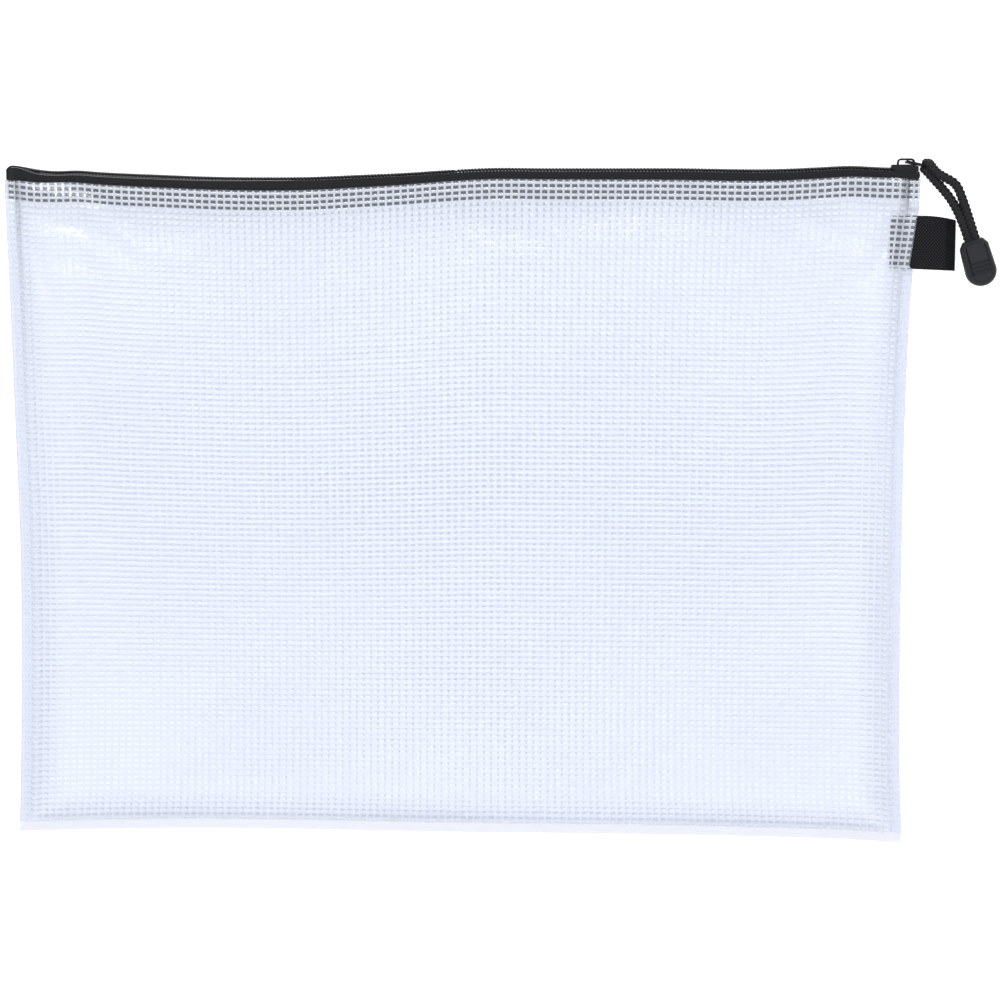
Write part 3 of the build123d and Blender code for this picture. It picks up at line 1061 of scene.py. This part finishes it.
class WALLET_OT_slider(bpy.types.Operator):
    """Finish the slider and its pull tab in black enamel"""

    bl_idname = "wallet.slider"
    bl_label = "Slider and tab"

    def execute(self, context):
        settings = context.scene.wallet_zip
        colour = settings.enamel_colour
        enamel, tree, shader = new_material("black_enamel", colour, roughness=0.5, specular=0.12)
        grainy(tree, shader, grains=1800.0, strength=0.12, distance=0.03 * MM)
        for name in ("slider_body", "pull_tab"):
            piece = frame["nodes"][name]
            piece.data.materials.clear()
            piece.data.materials.append(enamel)
        return {"FINISHED"}


def cord_line():
    """Places along the cord's smooth route, close together, in metres."""
    curve = bpy.data.curves.new("cord_route", "CURVE")
    curve.dimensions = "3D"
    curve.resolution_u = 24
    spline = curve.splines.new("NURBS")
    spline.points.add(len(CORD_ROUTE) - 1)
    for point, place in zip(spline.points, CORD_ROUTE):
        point.co = (*[MM * (a + b) for a, b in zip(place, EYE)], 1)
    spline.order_u = 3
    spline.use_endpoint_u = True
    holder = bpy.data.objects.new("cord_route", curve)
    bpy.context.scene.collection.objects.link(holder)
    bpy.context.view_layer.update()
    mesh = bpy.data.meshes.new_from_object(holder)
    points = np.array([v.co for v in mesh.vertices])
    bpy.data.objects.remove(holder)
    bpy.data.meshes.remove(mesh)
    bpy.data.curves.remove(curve)
    return points


def along_line(points, step):
    """Even places along a line, with two directions square to it: the first lies level where it can."""
    length = np.concatenate([[0], np.cumsum(np.linalg.norm(np.diff(points, axis=0), axis=1))])
    keep = np.concatenate([[True], np.diff(length) > 1e-9])
    points, length = points[keep], length[keep]
    at = np.linspace(0, length[-1], int(length[-1] / step))
    line = np.stack([np.interp(at, length, points[:, k]) for k in range(3)], -1)
    for _ in range(4):
        line[1:-1] = (line[:-2] + 2 * line[1:-1] + line[2:]) / 4
    along = np.gradient(line, axis=0)
    along /= np.linalg.norm(along, axis=1)[:, None]
    aside = np.zeros_like(line)
    side = np.cross(along[0], (0.0, 0.0, 1.0))
    for number, direction in enumerate(along):
        side = side - direction * (side @ direction)
        side /= np.linalg.norm(side)
        aside[number] = side
    up = np.cross(along, aside)
    flat = np.cross(along, (0.0, 0.0, 1.0))
    level = np.linalg.norm(flat, axis=1) > 0.75
    lean = np.arctan2((flat * up).sum(1), (flat * aside).sum(1))[level]
    lean = np.interp(at, at[level], np.unwrap(2 * lean) / 2)[:, None]
    aside = np.cos(lean) * aside + np.sin(lean) * up
    return at, line, aside, np.cross(along, aside)


def braid_mesh(at, line, aside, up, settings):
    """A core along the line, and yarns that cross over each other round it."""
    yarns = settings.yarns_each_way
    yarn = settings.cord_diameter * 0.15
    waves = YARN_WAVE * np.cos(yarns * 2 * pi * at / settings.braid_lead)
    reach = settings.cord_diameter / 2 - yarn * 0.7 - 0.1 * MM
    turns = np.linspace(0, -2 * pi, 13)[:-1, None]
    core = line[:, None] + reach * (np.cos(turns) * aside[:, None] + np.sin(turns) * up[:, None])
    verts = [core.reshape(-1, 3)]
    faces = [strip_faces(len(line), len(turns))]
    sides = 6
    for way in (1, -1):
        for number in range(yarns):
            turn = way * 2 * pi * at / settings.braid_lead + 2 * pi * number / yarns
            outward = np.cos(turn)[:, None] * aside + np.sin(turn)[:, None] * up
            place = line + outward * (reach + way * waves)[:, None]
            faces.append(strip_faces(len(line), sides, sum(len(v) for v in verts)))
            verts.append(tube(place, outward, yarn * 1.3, sides, flat=0.66))
    return np.concatenate(verts), np.concatenate(faces)


class WALLET_OT_pull_cord(bpy.types.Operator):
    """Make the pull cord as a braid that runs through the tab's eye"""

    bl_idname = "wallet.pull_cord"
    bl_label = "Pull cord"

    def execute(self, context):
        settings = context.scene.wallet_pull
        colour = settings.cord_colour
        material, tree, shader = new_material("cord_braid", colour, roughness=0.6, specular=0.25)
        grainy(tree, shader, grains=3500.0, strength=0.4, distance=0.06 * MM)
        at, line, aside, up = along_line(cord_line(), 0.17 * MM)
        verts, faces = braid_mesh(at, line, aside * BRAID_WIDE, up * BRAID_THICK, settings)
        cord = new_object("pull_cord_braid", verts, faces, material)
        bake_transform(cord)
        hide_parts("pull_cord")
        return {"FINISHED"}


def grip_outline():
    """The grip's outline from its neck round the bottom and back, and its outward directions, in mm."""
    half, shoulder, neck, length, drop = 5.85, 5.4, 3.6, 18.0, 2.6
    straight = length - half
    right = [(neck * 0.6, 0.0), (neck, -0.05), (neck + 0.6, -0.7), (shoulder - 0.3, -2.0), (shoulder, -drop)]
    shares = np.linspace(0.1, 0.95, 9)
    right += [(shoulder + (half - shoulder) * t, -drop - (straight - drop) * t) for t in shares]
    round_end = [(half * cos(t), -straight - half * sin(t)) for t in np.linspace(0, pi, 33)]
    left = [(-x, y) for x, y in reversed(right)]
    line = np.array(right + round_end + left)
    along = np.roll(line, -1, 0) - np.roll(line, 1, 0)
    out = np.stack([-along[:, 1], along[:, 0]], -1)
    out /= np.linalg.norm(out, axis=1)[:, None]
    return line, -out if (out[3] @ np.array([1.0, 0.0])) < 0 else out


def grip_mesh():
    """The grip's layers, and its raised panel with three grooves across."""
    line, out = grip_outline()
    count = len(line)
    # How far each layer of the grip lies in from the outline, and its height, in millimetres
    layers = [(2.4, 0.0), (1.15, 0.0), (0.5, 0.25), (0.12, 0.75), (0.0, 1.5), (0.0, 3.6), (0.15, 4.1)]
    layers += [(0.6, 4.7), (1.1, 5.12), (1.3, 5.2), (1.5, 5.18), (1.7, 4.95), (2.4, 4.93)]
    verts = [np.column_stack([line - out * inset, np.full(count, height)]) for inset, height in layers]
    faces = [*strip_faces(len(layers), count), *end_faces(len(layers), count)]
    panel_half, panel_top, panel_foot, panel_level, panel_rise, soft = 3.6, -1.4, -13.4, 4.85, 0.75, 0.3
    groove_depth, groove_half = 0.4, 0.36
    down = np.linspace(panel_top, panel_foot, 121)
    y, x = np.meshgrid(down, np.linspace(-panel_half, panel_half, 25), indexing="ij")
    beside = panel_half - np.abs(x)
    edge = np.minimum(beside, np.minimum(panel_top - y, y - panel_foot))
    height = panel_level + panel_rise * ease(edge / soft)
    for groove in (-12.1, -10.55, -9.0):
        hollow = np.exp(-(((y - groove) / groove_half) ** 4)) * ease((beside - soft) / soft)
        height = height - groove_depth * hollow
    faces += list(grid_faces(*x.shape, sum(len(part) for part in verts), True))
    verts.append(np.stack([x, y, height], -1).reshape(-1, 3))
    verts = np.concatenate(verts)
    lean = radians(GRIP_LEAN)
    x = GRIP_TOP[0] + verts[:, 0] * cos(lean) - verts[:, 1] * sin(lean)
    y = GRIP_TOP[1] + verts[:, 0] * sin(lean) + verts[:, 1] * cos(lean)
    return np.stack([x, y, GRIP_TOP[2] + verts[:, 2]], -1) * MM, faces


class WALLET_OT_grip(bpy.types.Operator):
    """Make the moulded grip with its raised and grooved panel"""

    bl_idname = "wallet.grip"
    bl_label = "Grip"

    def execute(self, context):
        settings = context.scene.wallet_pull
        colour = settings.grip_colour
        material, tree, shader = new_material("grip_moulding", colour, roughness=0.5, specular=0.18)
        grainy(tree, shader, grains=2600.0, strength=0.2, distance=0.04 * MM)
        grip = new_object("grip", *grip_mesh(), material)
        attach(grip, "pull")
        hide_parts("cord_tip")
        return {"FINISHED"}


def ribbon_mesh():
    """The ribbon folded double: vertices, faces, flat places and the length of one strip."""
    outer = (ribbon_high.z - ribbon_low.z) / 2
    inner = 0.15 * MM
    end = ribbon_high.x - outer
    run = np.linspace(ribbon_low.x, end, 26)
    turns = np.linspace(pi / 2, -pi / 2, 11)[1:-1]
    outline = [(x, outer) for x in run] + [(end + outer * cos(t), outer * sin(t)) for t in turns]
    outline += [(x, -outer) for x in run[::-1]] + [(x, -inner) for x in run]
    outline += [(end + inner * cos(t), inner * sin(t)) for t in turns[::-1]]
    outline += [(x, inner) for x in run[::-1]]
    outline = np.array(outline)
    rows = np.linspace(ribbon_low.y, ribbon_high.y, 31)
    droop = np.clip((outline[:, 0] / MM - DROOP_START) / DROOP_LENGTH, 0, 1.2)
    verts, uvs = [], []
    for y in rows:
        share = (y - ribbon_low.y) / (ribbon_high.y - ribbon_low.y)
        low = y - MM * (DROOP + DROOP_MORE * share) * droop**2
        lift = MM * CORNER_LIFT * droop * (1 - share)
        verts.append(np.stack([outline[:, 0], low, SEAM + outline[:, 1] + lift], -1))
        uvs.append(np.stack([outline[:, 0], np.full(len(outline), y)], -1))
    sides = len(outline)
    faces = [*strip_faces(len(rows), sides), *end_faces(len(rows), sides)]
    length = 2 * (end - ribbon_low.x) + pi * outer
    return np.concatenate(verts), faces, np.concatenate(uvs), length


class WALLET_OT_ribbon(bpy.types.Operator):
    """Make the folded ribbon tab in the right-hand weld"""

    bl_idname = "wallet.ribbon"
    bl_label = "Ribbon tab"

    def execute(self, context):
        settings = context.scene.wallet_pull
        colour = settings.ribbon_colour
        material, tree, shader = new_material("ribbon_weave", colour, roughness=0.75, specular=0.1)
        weave = placed(tree, weave_group(), Threads_across=1700.0, Threads_along=1450.0)
        relief(tree, shader, weave.outputs["Height"], strength=0.7, distance=0.2 * MM)
        across, _ = flat_place(tree)
        dotted = maths(tree, "LESS_THAN", across, ribbon_high.x - PLAIN_END)
        dots = maths(tree, "MULTIPLY", weave.outputs["Mask"], dotted)
        shaded(tree, shader, dots, colour, DOT_COLOUR)
        verts, faces, uvs, length = ribbon_mesh()
        ribbon = new_object("ribbon_cloth", verts, faces, material, uvs)
        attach(ribbon, "back")
        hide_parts("ribbon_tab")
        return {"FINISHED"}


def lamp(name, place, aim, wide, deep, power):
    """A soft oblong lamp that points at a place."""
    light = bpy.data.lights.new(name, "AREA")
    light.shape = "RECTANGLE"
    light.size = wide
    light.size_y = deep
    light.energy = power
    holder = bpy.data.objects.new(name, light)
    holder.location = place
    holder.rotation_euler = (Vector(aim) - Vector(place)).to_track_quat("-Z", "Y").to_euler()
    bpy.context.scene.collection.objects.link(holder)
    return holder


class WALLET_OT_stage(bpy.types.Operator):
    """Set the floor, the soft light and the camera"""

    bl_idname = "wallet.stage"
    bl_label = "Stage"

    def execute(self, context):
        scene = context.scene
        settings = scene.wallet_stage
        material, tree, shader = new_material("white_floor", settings.floor_colour, roughness=0.9)
        glow = tree.nodes.new("ShaderNodeEmission")
        sight = tree.nodes.new("ShaderNodeLightPath")
        seen = maths(tree, "MAXIMUM", sight.outputs["Is Camera Ray"], sight.outputs["Is Glossy Ray"])
        seen = maths(tree, "MAXIMUM", seen, sight.outputs["Is Transmission Ray"])
        tree.links.new(maths(tree, "MULTIPLY", seen, settings.floor_glow), glow.inputs["Strength"])
        both = tree.nodes.new("ShaderNodeAddShader")
        tree.links.new(shader.outputs[0], both.inputs[0])
        tree.links.new(glow.outputs[0], both.inputs[1])
        put_on(tree, both)
        low = -0.4 * MM
        wide = 4.0
        corners = [(-wide, -wide, low), (wide, -wide, low), (wide, wide, low), (-wide, wide, low)]
        floor = new_object("floor", corners, [(0, 1, 2, 3)], material, smooth=False)
        world = bpy.data.worlds.new("even_sky")
        scene.world = world
        world.use_nodes = True
        back = world.node_tree.nodes["Background"]
        back.inputs["Color"].default_value = (1, 1, 1, 1)
        sight = world.node_tree.nodes.new("ShaderNodeLightPath")
        strength = maths(world.node_tree, "MAXIMUM", sight.outputs["Is Camera Ray"], settings.sky)
        world.node_tree.links.new(strength, back.inputs["Strength"])
        lamp("key_lamp", KEY_PLACE, KEY_AIM, wide=1.2, deep=0.035, power=settings.key_power)
        fill = lamp("fill_lamp", FILL_PLACE, FILL_AIM, wide=1.0, deep=1.0, power=settings.fill_power)
        fill.visible_glossy = False
        view = bpy.data.cameras.new("photo_view")
        view.sensor_width = 36.0
        view.lens = settings.camera_lens
        view.clip_start = 0.01
        camera = bpy.data.objects.new("photo_view", view)
        camera.location = CAMERA_PLACE
        camera.rotation_euler = [radians(turn) for turn in CAMERA_TURN]
        scene.collection.objects.link(camera)
        scene.camera = camera
        scene.view_settings.view_transform = "Standard"
        return {"FINISHED"}


STEPS = (
    WALLET_OT_stage,
    WALLET_OT_pull_cord,
    WALLET_OT_sheets,
    WALLET_OT_zip,
    WALLET_OT_slider,
    WALLET_OT_grip,
    WALLET_OT_ribbon,
)
SETTINGS = {
    "wallet_sheet": WalletSheetSettings,
    "wallet_zip": WalletZipSettings,
    "wallet_pull": WalletPullSettings,
    "wallet_stage": WalletStageSettings,
}


class WALLET_PT_sidebar(bpy.types.Panel):
    """Settings and steps of the wallet"""

    bl_idname = "WALLET_PT_sidebar"
    bl_label = "Zip wallet"
    bl_space_type = "VIEW_3D"
    bl_region_type = "UI"
    bl_category = "Wallet"

    def draw(self, context):
        for group in SETTINGS:
            box = self.layout.box()
            settings = getattr(context.scene, group)
            for name in settings.bl_rna.properties.keys():
                if name not in ("rna_type", "name"):
                    box.prop(settings, name)
        for step in STEPS:
            self.layout.operator(step.bl_idname)


CLASSES = (*SETTINGS.values(), *STEPS, WALLET_PT_sidebar)


def register():
    for made in CLASSES:
        bpy.utils.register_class(made)
    for name, group in SETTINGS.items():
        setattr(bpy.types.Scene, name, PointerProperty(type=group))


def unregister():
    for name in SETTINGS:
        delattr(bpy.types.Scene, name)
    for made in reversed(CLASSES):
        bpy.utils.unregister_class(made)


def main():
    """Register the add-on and run its steps in order."""
    register()
    bpy.ops.wallet.stage()
    bpy.ops.wallet.pull_cord()
    bpy.ops.wallet.sheets()
    bpy.ops.wallet.zip()
    bpy.ops.wallet.slider()
    bpy.ops.wallet.grip()
    bpy.ops.wallet.ribbon()


if __name__ == "__main__":
    main()
